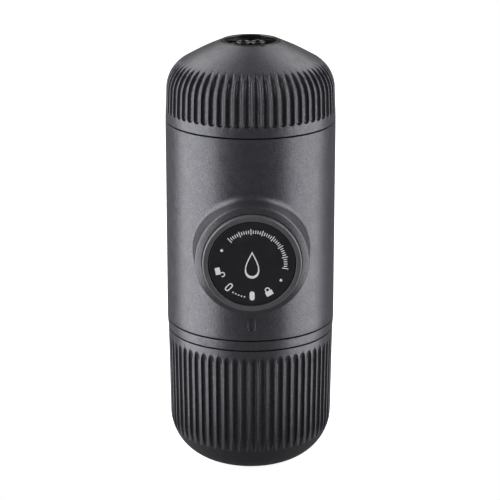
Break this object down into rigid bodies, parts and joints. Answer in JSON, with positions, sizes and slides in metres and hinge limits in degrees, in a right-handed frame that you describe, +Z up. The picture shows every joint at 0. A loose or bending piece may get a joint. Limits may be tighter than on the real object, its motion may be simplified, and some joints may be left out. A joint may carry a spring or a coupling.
{
  "type": "handheld manual espresso maker",
  "caption": "Capsule-shaped espresso maker pumped by hand: fluted cup over a screw-off tank, piston knob on a flared boss, screw-off outlet head with basket and nozzle.",
  "frame": {"origin": "middle of the cup's flat base, on the axis of the cup, tank, body and outlet head", "axes": "+Z up along the body's axis, the pump knob faces -Y, +X to the right seen from the knob's side"},
  "size_m": [0.061, 0.071, 0.157],
  "materials": {
    "shell_grey": "fine matte moulded texture",
    "knob_grey": "satin moulded",
    "knob_black": "smooth satin black",
    "guide_black": "smooth moulded black",
    "nozzle_black": "glossy black",
    "tank_smoke": "smooth smoked plastic",
    "frame_plastic": "moulded engineering plastic",
    "seal_rubber": "soft silicone",
    "rod_steel": "ground stainless steel",
    "screw_steel": "stainless steel",
    "spring_steel": "stainless spring wire",
    "ball_steel": "polished steel",
    "filter_steel": "perforated stainless steel"
  },
  "bodies": {
    "cup_base": {"cup": "shell_grey"},
    "tank_unit": {"water_tank": "tank_smoke", "tank_collar": "shell_grey", "cup_grip_ring": "seal_rubber"},
    "gasket_carrier": {"tank_gasket": "seal_rubber"},
    "main_body": {"body_casing": "shell_grey", "guide_sleeve": "guide_black", "sleeve_screws": "screw_steel", "tank_socket": "frame_plastic", "brew_head": "frame_plastic", "lower_frame_screws": "screw_steel", "upper_frame_screws": "screw_steel", "pump_block": "frame_plastic", "pump_cylinder": "rod_steel", "rod_guide": "frame_plastic", "return_spring": "spring_steel", "inlet_valve_seat": "frame_plastic", "outlet_valve_plug": "frame_plastic", "inlet_valve_spring": "spring_steel", "outlet_valve_spring": "spring_steel", "intake_strainer": "filter_steel", "air_vent_valve": "seal_rubber", "shower_screen": "filter_steel", "shower_screw": "screw_steel", "brew_gasket": "seal_rubber"},
    "inlet_ball": {"inlet_valve_ball": "ball_steel"},
    "outlet_ball": {"outlet_valve_ball": "ball_steel"},
    "piston": {"piston_rod": "rod_steel", "piston_head": "frame_plastic", "piston_seal": "seal_rubber", "thrust_washer": "rod_steel", "pivot_screw": "screw_steel"},
    "knob": {"knob_cap": "knob_grey", "knob_plate": "knob_black", "piston_barrel": "guide_black"},
    "seal_carrier": {"outlet_seal": "seal_rubber"},
    "outlet_head": {"outlet_shell": "shell_grey", "outlet_core": "guide_black", "nozzle_insert": "nozzle_black"},
    "basket": {"filter_basket": "filter_steel", "filter_screen": "filter_steel"}
  },
  "joints": [
    {"name": "cup_pull", "type": "slide", "parent": "cup_base", "child": "tank_unit", "axis": [0, 0, 1], "range_m": [0, 0.055]},
    {"name": "tank_thread", "type": "hinge", "parent": "tank_unit", "child": "gasket_carrier", "pos_m": [0, 0, 0], "axis": [0, 0, 1], "range_deg": [0, 450]},
    {"name": "body_lift", "type": "slide", "parent": "gasket_carrier", "child": "main_body", "axis": [0, 0, 1], "range_m": [0, 0.04]},
    {"name": "piston_slide", "type": "slide", "parent": "main_body", "child": "piston", "axis": [0, -1, 0], "range_m": [0, 0.02], "deforming": ["return_spring"]},
    {"name": "knob_turn", "type": "hinge", "parent": "piston", "child": "knob", "pos_m": [0, 0, 0.0863], "axis": [0, -1, 0], "range_deg": [0, 45]},
    {"name": "inlet_valve_lift", "type": "slide", "parent": "main_body", "child": "inlet_ball", "axis": [0, 0, 1], "range_m": [0, 0.001], "stiffness_N_per_m": 60, "springref_m": -0.002, "deforming": ["inlet_valve_spring"]},
    {"name": "outlet_valve_lift", "type": "slide", "parent": "main_body", "child": "outlet_ball", "axis": [0, 0, 1], "range_m": [0, 0.001], "stiffness_N_per_m": 60, "springref_m": -0.002, "deforming": ["outlet_valve_spring"]},
    {"name": "head_thread", "type": "hinge", "parent": "main_body", "child": "seal_carrier", "pos_m": [0, 0, 0.127], "axis": [0, 0, 1], "range_deg": [0, 450]},
    {"name": "head_lift", "type": "slide", "parent": "seal_carrier", "child": "outlet_head", "axis": [0, 0, 1], "range_m": [0, 0.04]},
    {"name": "basket_lift", "type": "slide", "parent": "main_body", "child": "basket", "axis": [0, 0, 1], "range_m": [0, 0.02]}
  ],
  "couplings": [
    {"joint": "basket_lift", "follows": "head_lift", "ratio": 0.5}
  ]
}
